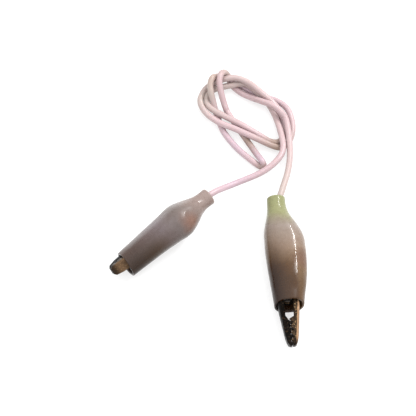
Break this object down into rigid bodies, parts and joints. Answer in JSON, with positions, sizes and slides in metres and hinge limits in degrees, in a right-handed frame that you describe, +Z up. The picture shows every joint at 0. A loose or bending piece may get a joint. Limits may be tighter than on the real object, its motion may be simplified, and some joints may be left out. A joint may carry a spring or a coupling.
{
  "type": "alligator clip lead",
  "caption": "Short insulated test lead, loosely knotted, with a spring-loaded toothed jaw clip in a soft vinyl boot at each end.",
  "frame": {"origin": "on the surface that the lead lies on, below the middle of the two clips' bounding box", "axes": "+Z up; +X to the right across the two clips; +Y towards the knot of cord"},
  "size_m": [0.0453, 0.0708, 0.0095],
  "materials": {
    "jaw_plating": "tarnished copper plate",
    "rivet_steel": "satin",
    "spring_steel": "satin",
    "left_vinyl": "glossy smoky vinyl",
    "right_vinyl": "glossy smoky vinyl",
    "cord_pvc": "satin pinkish white",
    "core_copper": "bare stranded copper"
  },
  "bodies": {
    "lead": {"cord_jacket": "cord_pvc", "copper_core": "core_copper", "left_fixed_jaw": "jaw_plating", "left_pivot_rivet": "rivet_steel", "left_jaw_spring": "spring_steel", "left_boot": "left_vinyl", "right_fixed_jaw": "jaw_plating", "right_pivot_rivet": "rivet_steel", "right_jaw_spring": "spring_steel", "right_boot": "right_vinyl"},
    "left_moving_jaw": {"left_moving_jaw": "jaw_plating"},
    "right_moving_jaw": {"right_moving_jaw": "jaw_plating"}
  },
  "joints": [
    {"name": "left_jaw_hinge", "type": "hinge", "parent": "lead", "child": "left_moving_jaw", "pos_m": [-0.0128, 0.0066, 0.00422], "axis": [-0.5142, 0.5688, 0.6419], "range_deg": [0, 22], "stiffness_Nm_per_rad": 0.04, "springref_deg": -28.65, "deforming": ["left_jaw_spring", "left_boot"]},
    {"name": "right_jaw_hinge", "type": "hinge", "parent": "lead", "child": "right_moving_jaw", "pos_m": [0.018, -0.0068, 0.00325], "axis": [0.0049, -0.0591, 0.9982], "range_deg": [0, 22], "stiffness_Nm_per_rad": 0.04, "springref_deg": -28.65, "deforming": ["right_jaw_spring", "right_boot"]}
  ]
}
